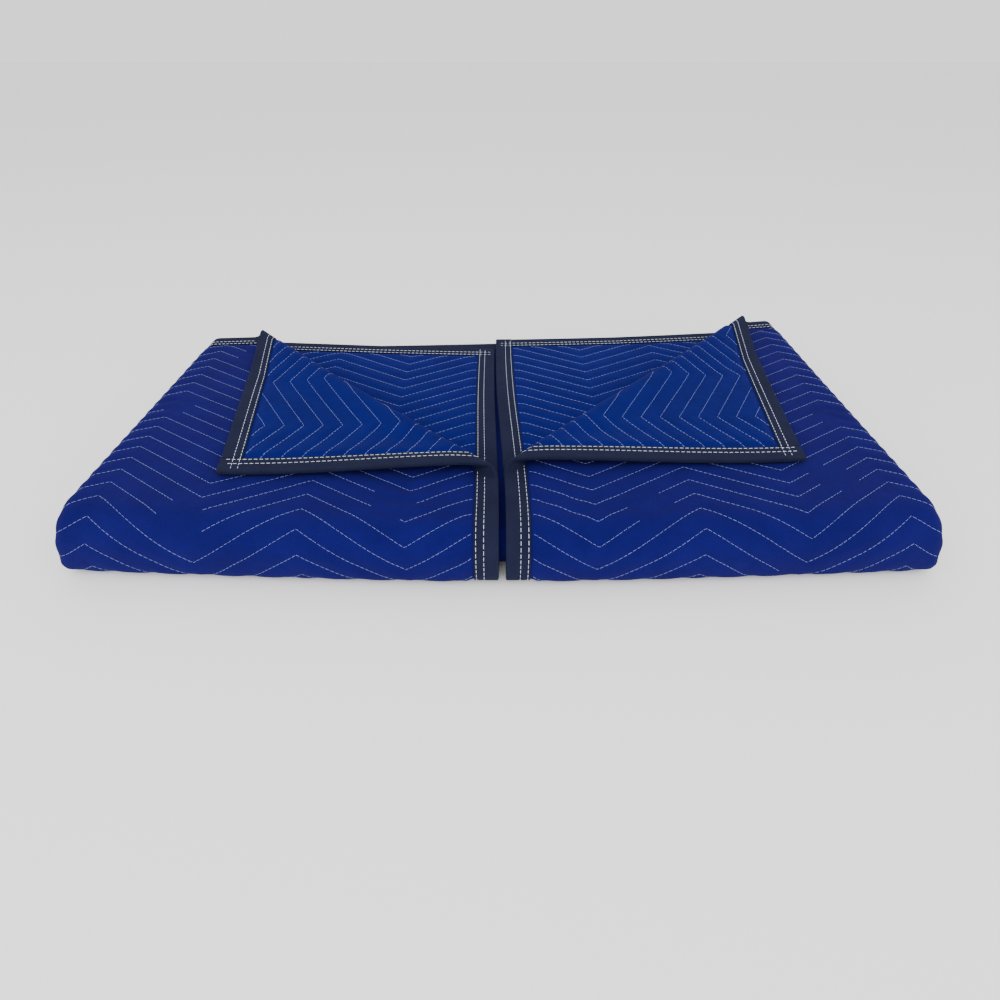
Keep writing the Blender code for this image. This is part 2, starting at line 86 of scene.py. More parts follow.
# Binding tape, folded round each edge
TAPE_WIDTH = 0.0245
TAPE_THICK = 0.0009
EDGE_THICK = 0.0026
CLEARANCE = 0.0004
MARGIN = TAPE_WIDTH + 0.0006
SHOULDER = 0.010
SHOULDER_START = 0.02
TAPE_SLANT_RUN = 0.3

# The binding's rows of thread, in from its inner edge, and the dimple that each one makes
TAPE_ROWS = (0.0025, 0.0105)
TAPE_DIMPLE = 0.00025
DIMPLE_WIDTH = 0.0016

# Zigzag quilting
ROW = 0.0243
TURN = 0.111
SWING = 0.063
FIRST_TURN_OUTER = 0.094
FIRST_TURN_INNER = 0.130
TURN_DRIFT = 0.7
OUTER_ROW_PHASE = 0.0122
QUILT_DEPTH = 0.0010
DIP_POWER = 1.3
QUILT_ROWS = 44
QUILT_CLEAR = 0.001

# Unevenness of a hand-folded pile
SIDE_RISE = 0.10
FRONT_ARCH = 0.026
SIDE_TAPER = 0.027
FRONT_EASE = 0.30
BACK_EASE = 0.40
MIDDLE_LEAN = {LEFT: -0.0040, RIGHT: -0.0095}
MIDDLE_SHIFT = 0.0035
WAVE_HEIGHT = 0.0009
SIDE_SLOPE = 0.036
SLOPE_POWER = 4
ARCH_EASE = 0.38
ARCH_POWER = 1.5

# Waves over the pile: share of the height, turn per metre across and front to back, start
WAVES = (
    (1.0, 8, 5, 0.6),
    (0.7, 12, -6, 2.0),
)

# How squared-off the bends are, from 2 for a round one: side folds below and above, front's lower half
SQUARE_BELOW = 3.4
SQUARE_ABOVE = 2.2
SQUARE_FRONT = 3.4

# Wrinkles: their middle and reach (in from the side edge, past the front), and their form
WRINKLE_DEPTH = 0.0008
WRINKLE_PLACE = (0.080, 0.018)
WRINKLE_REACH = (0.055, 0.032)
WRINKLE_STEP = 0.023
WRINKLE_WANDER = 1.6
WRINKLE_BEND = 27.0

# Thread: radius, stitch length and the gap between stitches
OUTER_THREAD = (0.00016, 0.0046, 0.0007)
INNER_THREAD = (0.00018, 0.0046, 0.0009)
TAPE_THREAD = (0.00032, 0.0052, 0.0012)
THREAD_LIFT = 0.00012

# One stitch: share of its length, share of its radius, and height over the cloth in radii
STITCH_SIDES = 4
STITCH_SHAPE = np.array([
    (0.00, 0.25, -0.9),
    (0.16, 1.00, 0.35),
    (0.84, 1.00, 0.35),
    (1.00, 0.25, -0.9),
])

# Where stitches sink out of sight: waves over the sheet, as turn per metre along u and v, and start
SINK_WAVES = (
    (31, 14, 1),
    (-23, 37, 0),
)
SUNK_OVER = 1.55

# Where a face counts as showing: past the first fold, and how far beside a crease
SHOWN_FROM_FOLD = 0.01
OUTER_PAST_CREASE = 0.012
INNER_BEFORE_CREASE = 0.03

# Mesh spacing: where the cloth shows, where it is hidden, round bends and beside the edges
SHOWN_STEP = 0.0038
UNDER_STEP = 0.008
HIDDEN_STEP = 0.035
BEND_STEP = 0.0034
HIDDEN_BEND_STEP = 0.008
FIRST_FOLD_STEP = 0.002
EDGE_STEP = 0.0025
RIM_STEP = 0.009

# Spacing along the binding, across it and round its nose, and along the paths of thread
TAPE_STEP = 0.0035
SECTION_STEP = 0.002
NOSE_START = 0.004
NOSE_POINTS = 5
ROW_PATH_STEP = 0.001
ROW_PASSES = 3
TAPE_PATH_STEP = 0.002
TAPE_PATH_END = 0.004
UP_STEP = 0.001

# Worked out from the sizes above
PITCH = PANEL_THICK + LAYER_GAP
HALF_PAIR = (PITCH + PANEL_THICK) / 2
SECTION = 4 * HALF_PAIR + LAYER_GAP
THICK = 2 * SECTION + LAYER_GAP
SIDE_X = HALF_WIDTH - SECTION / 2
SIDE_RADIUS = SECTION / 2 - PANEL_THICK / 2
SIDE_ARC = math.pi * SIDE_RADIUS
HALF_ACROSS = 2 * SIDE_X + SIDE_ARC - MIDDLE_GAP / 2
FRONT_AXIS = THICK / 2
FRONT_RADIUS = LAYER_GAP / 2 + SECTION - PANEL_THICK / 2
FRONT_ARC = math.pi * FRONT_RADIUS
BOTTOM_FLAT = BOTTOM_REACH - FRONT_AXIS
TOP_START = BOTTOM_FLAT + FRONT_ARC
BACK_ARC = math.pi * PITCH / 4
TOP_V = TOP_START + BACK_ARC
TAPE_OUTSIDE = EDGE_THICK / 2 + CLEARANCE + TAPE_THICK
TAPE_OVER = CLEARANCE + TAPE_THICK
OUTER_FACE, INNER_FACE = 1, -1


# The folds

def smooth(value):
    step = np.clip(value, 0.0, 1.0)
    return step * step * (3 - 2 * step)


def reach(across, end):
    return np.interp(across / HALF_ACROSS, ENDS[:, ACROSS], ENDS[:, end])


def end_of(u, end):
    """Length from the first fold to the outer (v > 0) or inner (v < 0) end, along the sheet."""
    return TOP_START + reach(u, end) - FRONT_AXIS + BACK_ARC


def doubled(v, n):
    """First fold, in half: distance from the fold, and offset from the middle of the pair."""
    turn = np.clip(v / (PITCH / 2), -math.pi / 2, math.pi / 2)
    run = np.abs(v) - BACK_ARC
    along = np.where(run > 0, run, -(PITCH / 2 + n) * np.cos(turn))
    return along, (PITCH / 2 + n) * np.sin(turn)


def squared(turn, power):
    """How much farther out a squared-off bend is than a round one, at each turn of it."""
    return (np.abs(np.cos(turn)) ** power + np.abs(np.sin(turn)) ** power) ** (-1 / power)


def folded_in(u, offset, along):
    """Second fold, both sides to the middle: place across, and height within the section."""
    beyond = np.abs(u) - SIDE_X
    turn = np.clip(beyond / SIDE_RADIUS, 0, math.pi) - math.pi / 2
    power = SQUARE_BELOW + (SQUARE_ABOVE - SQUARE_BELOW) * smooth((along - BOTTOM_FLAT) / FRONT_ARC)
    radius = (SECTION / 2 - HALF_PAIR + offset) * squared(turn, power)
    x = SIDE_X + np.where(beyond > 0, radius * np.cos(turn), beyond)
    x = np.where(beyond > SIDE_ARC, SIDE_X - (beyond - SIDE_ARC), x)
    return np.sign(u) * x, SECTION / 2 + np.where(beyond > 0, radius * np.sin(turn), -radius)


def folded_over(height, along):
    """Third fold, in half over the front: place front to back, and height."""
    turn = np.clip((along - BOTTOM_FLAT) / FRONT_RADIUS, 0, math.pi) - math.pi / 2
    radius = (LAYER_GAP / 2 + height) * squared(np.minimum(turn, 0), SQUARE_FRONT)
    below = np.minimum(along - BOTTOM_FLAT, 0)
    above = np.maximum(along - TOP_START, 0)
    y = FRONT_AXIS - radius * np.cos(turn) - below + above
    return y, THICK / 2 + radius * np.sin(turn)


def crease_frame(side):
    """A turned-back corner's crease: its front end, its direction, the way to the corner, its length."""
    corner = np.array([side * MIDDLE_GAP / 2, reach(side * HALF_ACROSS, OUTER_END)])
    front = corner - (0, ALONG_MIDDLE[side])
    back_u = side * (HALF_ACROSS - ALONG_BACK[side])
    back = np.array([corner[0] + side * ALONG_BACK[side], reach(back_u, OUTER_END)])
    length = np.linalg.norm(back - front)
    direction = (back - front) / length
    to_corner = np.array([-side * direction[1], side * direction[0]])
    return front, direction, to_corner, length


def crease_radius(share):
    """The crease's radius at a share of its length, which opens towards the back."""
    share = np.clip(share, -CREASE_PAST_ENDS, 1 + CREASE_PAST_ENDS)
    return CREASE_RADIUS_FRONT + (CREASE_RADIUS_BACK - CREASE_RADIUS_FRONT) * share


def turned_back(past, n, radius):
    """Profile of a turned-back corner: place across the crease, and height over the layer's middle."""
    tail = CREASE_TAIL_ANGLE
    curve = radius * (math.pi + tail)
    drop = radius * (1 + math.cos(tail)) - PITCH - CREASE_TAIL_RADIUS * (1 - math.cos(tail))
    slope = curve + drop / math.sin(tail)
    flat = slope + CREASE_TAIL_RADIUS * tail
    turn = np.clip(past / radius, 0, math.pi + tail)
    q = np.minimum(past, 0) + (radius - n) * np.sin(turn)
    h = radius - (radius - n) * np.cos(turn)
    run = np.clip(past - curve, 0, slope - curve)
    q = q - run * math.cos(tail)
    h = h - run * math.sin(tail)
    unturn = np.clip((past - slope) / CREASE_TAIL_RADIUS, 0, tail)
    wide = CREASE_TAIL_RADIUS + n
    q = q - wide * (math.sin(tail) - np.sin(tail - unturn))
    h = h - wide * (np.cos(tail - unturn) - math.cos(tail))
    return q - np.maximum(past - flat, 0), h


def corner_turned(x, y, z, n, side):
    """Fourth fold: a top corner turned back over its crease, with its front edge curling up."""
    front, direction, to_corner, length = crease_frame(side)
    from_front = np.stack([x, y], -1) - front
    along = from_front @ direction
    past = from_front @ to_corner
    q, h = turned_back(past, n, crease_radius(along / length))
    plan_place = front + along[..., None] * direction + q[..., None] * to_corner
    turned = past > 0
    shape = smooth(past / LIFT_RISE) * (1 - smooth((past - LIFT_RISE) / LIFT_FALL))
    curl = EDGE_LIFT[side] * shape * (1 - smooth((side * x - MIDDLE_GAP / 2) / LIFT_DEPTH))
    lifted = THICK - PANEL_THICK / 2 + h + curl
    return (np.where(turned, plan_place[..., 0], x), np.where(turned, plan_place[..., 1], y),
            np.where(turned, lifted, z))


def uneven(x, y, z, on_flap):
    """The small departures of a pile folded by hand."""
    out = np.abs(x) / HALF_WIDTH
    low = np.clip(1 - z / THICK, 0, 1)
    front = 1 - smooth((y - FRONT_AXIS) / FRONT_EASE)
    back = smooth((y - FRONT_AXIS) / BACK_EASE) * (z > THICK / 2)
    lean = np.where(x < 0, MIDDLE_LEAN[LEFT], MIDDLE_LEAN[RIGHT])
    wave = sum(share * np.sin(across * x + deep * y + start) for share, across, deep, start in WAVES)
    new_x = x * (1 - SIDE_TAPER * y + SIDE_SLOPE * (low - 0.5) * out ** SLOPE_POWER)
    middle = np.clip(1 - np.abs(x) / SIDE_X, 0, 1)
    new_x = new_x + (on_flap * back * lean + MIDDLE_SHIFT * front) * middle
    new_y = y + FRONT_ARCH * front * out ** ARCH_POWER * (1 - ARCH_EASE * low)
    return new_x, new_y, z * (1 + SIDE_RISE * out ** 2) + WAVE_HEIGHT * wave * z / THICK


def place(u, v, n):
    """The folded place of flat points u, v at n from the sheet's middle."""
    u, v, n = np.broadcast_arrays(*(np.asarray(value, float) for value in (u, v, n)))
    along, offset = doubled(v, n)
    x, height = folded_in(u, offset, along)
    y, z = folded_over(height, along)
    on_flap = np.abs(u) > SIDE_X + SIDE_ARC
    for side in (LEFT, RIGHT):
        mine = (v > 0) & on_flap & (np.sign(u) == side) & (along > TOP_START)
        turned = corner_turned(x, y, z, n, side)
        x, y, z = (np.where(mine, new, old) for new, old in zip(turned, (x, y, z)))
    return np.stack(uneven(x, y, z, on_flap), -1)


# The quilting and the sheet's thickness

def turn_shift(u, v):
    """How far a zigzag row is off its middle line at u, v."""
    from_edge = HALF_ACROSS - np.abs(u)
    first_inner = FIRST_TURN_INNER - TURN
    first = first_inner + (FIRST_TURN_OUTER - first_inner) * smooth(v / TURN_DRIFT + 0.5)
    cycle = ((from_edge - first) / TURN) % 2
    return SWING * (np.abs(cycle - 1) * -1 + 0.5)


def row_count(u, v):
    """The quilting row at u, v, as a number that is whole on a thread."""
    return (v - OUTER_ROW_PHASE - turn_shift(u, v)) / ROW


def from_edges(u, v):
    """Distance from the nearest edge of the flat blanket."""
    end = np.where(v > 0, end_of(u, OUTER_END), end_of(u, INNER_END))
    return np.minimum(HALF_ACROSS - np.abs(u), end - np.abs(v))


def past_crease(u, v):
    """Distance past the turned-back corner's crease, in the plan of the top layers."""
    past = np.zeros(np.shape(u))
    for side in (LEFT, RIGHT):
        front, _, to_corner, _ = crease_frame(side)
        x = side * (HALF_ACROSS + MIDDLE_GAP / 2 - np.abs(u))
        y = np.abs(v) - BACK_ARC - TOP_START + FRONT_AXIS
        mine = (x - front[0]) * to_corner[0] + (y - front[1]) * to_corner[1]
        past = np.where(np.sign(u) == side, mine, past)
    return past


def quilt_dip(u, v):
    """Depth of the quilting: full on a row's thread, none midway between rows."""
    near_thread = 0.5 + 0.5 * np.cos(math.tau * row_count(u, v))
    return QUILT_DEPTH * near_thread ** DIP_POWER


def wrinkles(u, v):
    """Soft wrinkles of the outer face beside the middle, where the front bends over to the top."""
    from_middle = HALF_ACROSS - np.abs(u)
    past_front = v - TOP_V
    near = np.exp(-((from_middle - WRINKLE_PLACE[0]) / WRINKLE_REACH[0]) ** 2
                  - ((past_front - WRINKLE_PLACE[1]) / WRINKLE_REACH[1]) ** 2)
    wander = WRINKLE_WANDER * np.sin(WRINKLE_BEND * from_middle + np.sign(u))
    return WRINKLE_DEPTH * near * np.sin(math.tau * past_front / WRINKLE_STEP + wander)


def half_thickness(u, v, face):
    """From the sheet's middle to a face, thin under the binding and dimpled by the quilting."""
    full = smooth((from_edges(u, v) - MARGIN) / SHOULDER + SHOULDER_START)
    dip = quilt_dip(u, v)
    if face == OUTER_FACE:
        dip = dip + wrinkles(u, v)
    return EDGE_THICK / 2 + (PANEL_THICK / 2 - EDGE_THICK / 2 - dip) * full


# Meshes

def spaced(start, stop, step):
    return np.linspace(start, stop, max(1, round(abs(stop - start) / step)) + 1)


def joined(*parts):
    """Runs of numbers joined end to end, with each shared end kept once."""
    return np.concatenate([parts[0]] + [part[1:] for part in parts[1:]])


def grid_faces(rows, columns):
    first = (np.arange(rows - 1)[:, None] * columns + np.arange(columns - 1)).reshape(-1)
    return np.stack([first, first + 1, first + columns + 1, first + columns], -1)


def piece(name, points, faces, material, flat=None):
    """A smooth mesh that rides on the part, with its flat coordinates, if given, as its UV map."""
    mesh = bpy.data.meshes.new(name)
    mesh.from_pydata((points + to_frame).tolist(), [], faces.tolist())
    mesh.polygons.foreach_set("use_smooth", np.ones(len(faces), bool))
    if flat is not None:
        corners = np.zeros(len(mesh.loops), np.int32)
        mesh.loops.foreach_get("vertex_index", corners)
        layer = mesh.uv_layers.new(name="flat")
        layer.data.foreach_set("uv", flat[corners].astype(np.float32).reshape(-1))
    mesh.materials.append(material)
    made = bpy.data.objects.new(name, mesh)
    bpy.context.scene.collection.objects.link(made)
    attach(made, "root")
    return made


def half_columns():
    """The places across, from the sheet's middle to a side edge."""
    flap = SIDE_X + SIDE_ARC
    shoulder = HALF_ACROSS - MARGIN - SHOULDER
    return joined(
        spaced(0, SIDE_X, HIDDEN_STEP), spaced(SIDE_X, flap, BEND_STEP),
        spaced(flap, shoulder, SHOWN_STEP), spaced(shoulder, HALF_ACROSS - MARGIN, EDGE_STEP),
        spaced(HALF_ACROSS - MARGIN, HALF_ACROSS, RIM_STEP))


def half_rows(under_step, bend_step, shown_step):
    """The places along from the first fold to an end: the plain run's, and shares of the top's."""
    run = joined(
        spaced(0, BACK_ARC, FIRST_FOLD_STEP), spaced(BACK_ARC, BACK_ARC + BOTTOM_FLAT, under_step),
        spaced(BACK_ARC + BOTTOM_FLAT, TOP_V, bend_step))
    length = reach(0, OUTER_END) - FRONT_AXIS
    shoulder = (MARGIN + SHOULDER) / length
    margin = MARGIN / length
    shares = joined(
        spaced(0, 1 - shoulder, shown_step / length), spaced(1 - shoulder, 1 - margin, EDGE_STEP / length),
        spaced(1 - margin, 1, RIM_STEP / length))
    return run, shares


def cloth_points(rows_out, rows_in):
    """Flat points of one face of the cloth, row by row."""
    half = half_columns()
    u = joined(-half[::-1], half)
    halves = []
    for sign, end, (run, shares) in ((-1, INNER_END, rows_in), (1, OUTER_END, rows_out)):
        plain = np.repeat(run[:, None], len(u), 1)
        last = TOP_V + shares[1:, None] * (end_of(u, end) - TOP_V)
        halves.append(sign * np.concatenate([plain, last]))
    v = np.concatenate([halves[0][::-1], halves[1][1:]])
    flat = np.stack([np.broadcast_to(u, v.shape), v], -1).reshape(-1, 2)
    return flat, grid_faces(len(v), len(u))


def cloth_place(flat, face):
    u, v = flat.T
    return place(u, v, face * half_thickness(u, v, face))


def tape_section():
    """The binding's section: distance in from the edge, and offset from the sheet's middle."""
    across = joined(spaced(TAPE_WIDTH, NOSE_START, SECTION_STEP), spaced(NOSE_START, 0, SECTION_STEP))
    from_inner = TAPE_WIDTH - across
    dimple = sum(np.exp(-((from_inner - row) / DIMPLE_WIDTH) ** 2) for row in TAPE_ROWS) * TAPE_DIMPLE
    swell = TAPE_OUTSIDE - dimple
    turn = np.linspace(math.pi / 2, -math.pi / 2, NOSE_POINTS + 2)[1:-1]
    inside = TAPE_OUTSIDE - TAPE_THICK
    ins = np.concatenate([across, -TAPE_OVER * np.cos(turn), across[::-1],
                          [TAPE_WIDTH, -CLEARANCE, -CLEARANCE, TAPE_WIDTH]])
    offs = np.concatenate([swell, TAPE_OUTSIDE * np.sin(turn), -swell[::-1],
                           [-inside, -inside, inside, inside]])
    return ins, offs


def tube_faces(rings, sides):
    """Faces of an open tube, ring after ring."""
    ring = np.arange(rings - 1)[:, None] * sides
    side = np.arange(sides)
    after = (side + 1) % sides
    four = [ring + side, ring + after, ring + sides + after, ring + sides + side]
    return np.stack(four, -1).reshape(-1, 4)


def side_tape(side, name, material):
    """The binding of one long side, its ends slanted with the sheet's."""
    ins, offs = tape_section()
    edge = side * HALF_ACROSS
    low = -(end_of(edge, INNER_END) + TAPE_OVER)
    high = end_of(edge, OUTER_END) + TAPE_OVER
    v = spaced(low, high, TAPE_STEP)[:, None]
    u = side * (HALF_ACROSS - ins)
    slant_low = -(end_of(u, INNER_END) - end_of(edge, INNER_END))
    slant_high = end_of(u, OUTER_END) - end_of(edge, OUTER_END)
    share = smooth((np.abs(v) - TOP_V) / TAPE_SLANT_RUN)
    v = v + share * np.where(v < 0, slant_low, slant_high)
    points = place(u, v, offs)
    flat = np.stack(np.broadcast_arrays(v, ins), -1).reshape(-1, 2)
    return tape_piece(name, points, flat, material)


def end_tape(end, name, material):
    """The binding of one end, between the two side bindings."""
    ins, offs = tape_section()
    sign = 1 if end == OUTER_END else -1
    last = HALF_ACROSS - TAPE_WIDTH - 2 * CLEARANCE
    u = spaced(-last, last, TAPE_STEP)[:, None]
    points = place(u, sign * (end_of(u, end) - ins), offs)
    flat = np.stack(np.broadcast_arrays(u, ins), -1).reshape(-1, 2)
    return tape_piece(name, points, flat, material)


def tape_piece(name, points, flat, material):
    rings, sides = points.shape[:2]
    faces = tube_faces(rings, sides)
    made = piece(name, points.reshape(-1, 3), faces, material, flat)
    return made


# Thread

def stitches(path, face, lift, thread, keep):
    """Stitches along a flat path, each a small dash that dips into the cloth at both ends."""
    radius, length, gap = thread
    steps = np.linalg.norm(np.diff(path, axis=0), axis=1)
    run = np.concatenate([[0], np.cumsum(steps)])
    count = int(run[-1] / (length + gap))
    starts = (np.arange(count) + 0.5 * (run[-1] / (length + gap) - count)) * (length + gap)
    places = starts[:, None] + STITCH_SHAPE[:, 0] * length
    flat = np.stack([np.interp(places, run, path[:, i]) for i in (0, 1)], -1)
    middle = flat.mean(1)
    flat = flat[keep(middle[:, 0], middle[:, 1])]
    if not len(flat):
        return np.zeros((0, 3))
    u, v = flat[..., 0], flat[..., 1]
    heights = lift(u, v) + STITCH_SHAPE[:, 2] * radius
    centre = place(u, v, face * heights)
    above = place(u, v, face * (heights + UP_STEP))
    up = above - centre
    up /= np.linalg.norm(up, axis=-1, keepdims=True)
    along = centre[:, -1] - centre[:, 0]
    along /= np.linalg.norm(along, axis=-1, keepdims=True)
    beside = np.cross(along[:, None], up)
    turn = math.tau * (np.arange(STITCH_SIDES) + 0.5) / STITCH_SIDES
    ring = np.cos(turn)[:, None] * beside[:, :, None] + np.sin(turn)[:, None] * up[:, :, None]
    wide = STITCH_SHAPE[:, 1, None, None] * radius
    return (centre[:, :, None] + wide * ring).reshape(-1, 3)


def stitch_faces(count):
    """Faces of that many stitches, each of four rings closed at both ends."""
    rings = len(STITCH_SHAPE)
    tube = tube_faces(rings, STITCH_SIDES)
    caps = np.array([np.arange(STITCH_SIDES)[::-1], np.arange(STITCH_SIDES) + STITCH_SIDES * (rings - 1)])
    faces = np.concatenate([tube, caps])
    return (np.arange(count)[:, None, None] * rings * STITCH_SIDES + faces).reshape(-1, 4)


def row_path(row):
    """A quilting row's path across the flat blanket."""
    u = spaced(-HALF_ACROSS + MARGIN, HALF_ACROSS - MARGIN, ROW_PATH_STEP)
    level = OUTER_ROW_PHASE + row * ROW
    v = np.full(len(u), level)
    for _ in range(ROW_PASSES):
        v = level + turn_shift(u, v)
    return np.stack([u, v], -1)


def outer_open(u, v):
    """Where the outer face is outside: the flaps and side folds, up to the turned-back corners."""
    return (v > SHOWN_FROM_FOLD) & (np.abs(u) > SIDE_X) & (past_crease(u, v) < OUTER_PAST_CREASE)


def outer_sewn(u, v):
    """Where the outer face's stitches show: they sink out of sight in small patches."""
    patches = sum(np.sin(across * u + along * v + start) for across, along, start in SINK_WAVES)
    return outer_open(u, v) & (patches < SUNK_OVER)


def inner_open(u, v):
    """Where the inner face shows: on the turned-back corners, and beneath where they were."""
    least = np.where(v > 0, 0.0, -INNER_BEFORE_CREASE)
    return (np.abs(u) > SIDE_X + SIDE_ARC) & (past_crease(u, v) > least)


def sewn(name, rows, face, lift, thread, keep, material):
    """One piece of thread: the kept stitches of all its rows, on one face."""
    points = np.concatenate([stitches(path, face, lift, thread, keep) for path in rows])
    per_stitch = len(STITCH_SHAPE) * STITCH_SIDES
    made = piece(name, points, stitch_faces(len(points) // per_stitch), material)
    return made


def tape_rows():
    """Paths of the binding's two rows of thread, along the sides and along the ends."""
    rows = []
    for row in TAPE_ROWS:
        inset = TAPE_WIDTH - row
        for side in (LEFT, RIGHT):
            u_edge = side * (HALF_ACROSS - inset)
            low = -end_of(u_edge, INNER_END) + TAPE_PATH_END
            high = end_of(u_edge, OUTER_END) - TAPE_PATH_END
            v = spaced(low, high, TAPE_PATH_STEP)
            rows.append(np.stack([np.full(len(v), u_edge), v], -1))
        for sign, end in ((1, OUTER_END), (-1, INNER_END)):
            u = spaced(-HALF_ACROSS + TAPE_PATH_END, HALF_ACROSS - TAPE_PATH_END, TAPE_PATH_STEP)
            rows.append(np.stack([u, sign * (end_of(u, end) - inset)], -1))
    return rows


# Materials

WEAVE_SCALE = 900
WEAVE_DETAIL = 2
WEAVE_STRENGTH = 0.35
WEAVE_DEPTH = 0.0006
FADE_SCALE = 26
FADE_DETAIL = 5
FADE_ROUGHNESS = 0.65
SPREAD_LOW = 0.3
SPREAD_HIGH = 0.7
CRINKLE_SCALE = 95
CRINKLE_DETAIL = 4
CRINKLE_STRENGTH = 0.4
CRINKLE_DEPTH = 0.002
CLOTH_ROUGHNESS = 0.95
CLOTH_SPECULAR = 0.06
SHEEN_ROUGHNESS = 0.5
SHEEN_TINT = (0.35, 0.45, 0.9, 1)
THREAD_SCALE = 120
THREAD_DETAIL = 2
THREAD_SHADE = 0.62
THREAD_ROUGHNESS = 0.6


def material_with(name, build):
    made = bpy.data.materials.new(name)
    made.use_nodes = True
    tree = made.node_tree
    build(tree, tree.nodes["Principled BSDF"])
    return made


def noise(tree, scale, detail, vector):
    made = tree.nodes.new("ShaderNodeTexNoise")
    made.inputs["Scale"].default_value = scale
    made.inputs["Detail"].default_value = detail
    tree.links.new(vector, made.inputs["Vector"])
    return made


def relief(tree, strength, distance, height):
    made = tree.nodes.new("ShaderNodeBump")
    made.inputs["Strength"].default_value = strength
    made.inputs["Distance"].default_value = distance
    tree.links.new(height.outputs["Fac"], made.inputs["Height"])
    return made


def arithmetic(tree, operation, value, factor):
    made = tree.nodes.new("ShaderNodeMath")
    made.operation = operation
    made.inputs[1].default_value = factor
    tree.links.new(value, made.inputs[0])
    return made


def between(tree, factor, low, high, shader):
    """The base colour, from one to the other by a factor."""
    mix = tree.nodes.new("ShaderNodeMix")
    mix.data_type = "RGBA"
    mix.inputs["A"].default_value = (*low, 1)
    mix.inputs["B"].default_value = (*high, 1)
    tree.links.new(factor, mix.inputs["Factor"])
    tree.links.new(mix.outputs["Result"], shader.inputs["Base Color"])


def cloth_material(name, dark, light, sheen):
    """Woven cloth: a fine weave and broad fading in its colour, weave and crinkles in its relief."""
    def build(tree, shader):
        flat = tree.nodes.new("ShaderNodeUVMap")
        flat.uv_map = "flat"
        spot = tree.nodes.new("ShaderNodeTexCoord")
        weave = noise(tree, WEAVE_SCALE, WEAVE_DETAIL, flat.outputs["UV"])
        fade = noise(tree, FADE_SCALE, FADE_DETAIL, spot.outputs["Object"])
        fade.inputs["Roughness"].default_value = FADE_ROUGHNESS
        fade_half = arithmetic(tree, "MULTIPLY", fade.outputs["Fac"], 0.5)
        both = arithmetic(tree, "MULTIPLY_ADD", weave.outputs["Fac"], 0.5)
        tree.links.new(fade_half.outputs[0], both.inputs[2])
        spread = tree.nodes.new("ShaderNodeMapRange")
        spread.inputs["From Min"].default_value = SPREAD_LOW
        spread.inputs["From Max"].default_value = SPREAD_HIGH
        tree.links.new(both.outputs[0], spread.inputs["Value"])
        between(tree, spread.outputs["Result"], dark, light, shader)
        crinkle = noise(tree, CRINKLE_SCALE, CRINKLE_DETAIL, flat.outputs["UV"])
        broad = relief(tree, CRINKLE_STRENGTH, CRINKLE_DEPTH, crinkle)
        fine = relief(tree, WEAVE_STRENGTH, WEAVE_DEPTH, weave)
        tree.links.new(broad.outputs["Normal"], fine.inputs["Normal"])
        tree.links.new(fine.outputs["Normal"], shader.inputs["Normal"])
        shader.inputs["Roughness"].default_value = CLOTH_ROUGHNESS
        shader.inputs["Specular IOR Level"].default_value = CLOTH_SPECULAR
        shader.inputs["Sheen Weight"].default_value = sheen
        shader.inputs["Sheen Roughness"].default_value = SHEEN_ROUGHNESS
        shader.inputs["Sheen Tint"].default_value = SHEEN_TINT
    return material_with(name, build)


def thread_material(name, colour):
    """Sewing thread, uneven in tone along its run."""
    def build(tree, shader):
        spot = tree.nodes.new("ShaderNodeTexCoord")
        tone = noise(tree, THREAD_SCALE, THREAD_DETAIL, spot.outputs["Object"])
        shade = tuple(THREAD_SHADE * value for value in colour)
        between(tree, tone.outputs["Fac"], shade, colour, shader)
        shader.inputs["Roughness"].default_value = THREAD_ROUGHNESS
    return material_with(name, build)


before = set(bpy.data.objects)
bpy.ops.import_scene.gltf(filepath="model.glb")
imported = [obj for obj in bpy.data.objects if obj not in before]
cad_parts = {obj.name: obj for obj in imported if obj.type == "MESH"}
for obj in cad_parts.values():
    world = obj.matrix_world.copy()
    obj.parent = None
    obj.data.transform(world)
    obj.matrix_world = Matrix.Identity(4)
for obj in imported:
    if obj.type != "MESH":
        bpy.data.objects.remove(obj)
cad_low, cad_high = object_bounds()
panel_low, panel_high = (np.array(corner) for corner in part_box("quilted_panel"))

outer_cloth = cloth_material("outer_cloth", (0.0038, 0.0020, 0.060), (0.0070, 0.0040, 0.098), 0.02)
inner_cloth = cloth_material("inner_cloth", (0.0018, 0.0026, 0.070), (0.0036, 0.0052, 0.110), 0.02)
tape_cloth = cloth_material("tape_cloth", (0.0057, 0.0072, 0.0200), (0.0115, 0.0132, 0.0350), 0.03)
quilting_thread = thread_material("quilting_thread", (0.30, 0.40, 0.74))
tape_thread = thread_material("tape_thread", (0.78, 0.83, 1.00))

shown = (UNDER_STEP, BEND_STEP, SHOWN_STEP)
hidden = (HIDDEN_STEP, HIDDEN_BEND_STEP, HIDDEN_STEP)
half_hidden = (HIDDEN_STEP, HIDDEN_BEND_STEP, SHOWN_STEP)
outer_flat, outer_faces = cloth_points(half_rows(*shown), half_rows(*hidden))
inner_flat, inner_faces = cloth_points(half_rows(*half_hidden), half_rows(*half_hidden))
outer_points = cloth_place(outer_flat, OUTER_FACE)
inner_points = cloth_place(inner_flat, INNER_FACE)

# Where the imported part's frame lies, from the panel's own box
low, high = outer_points.min(0), outer_points.max(0)
to_frame = np.array([(panel_low[0] + panel_high[0] - low[0] - high[0]) / 2, panel_low[1] - low[1], 0.0])

outer = piece("outer_face", outer_points, outer_faces, outer_cloth, outer_flat)
inner = piece("inner_face", inner_points, inner_faces[:, ::-1], inner_cloth, inner_flat)
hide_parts("quilted_panel")

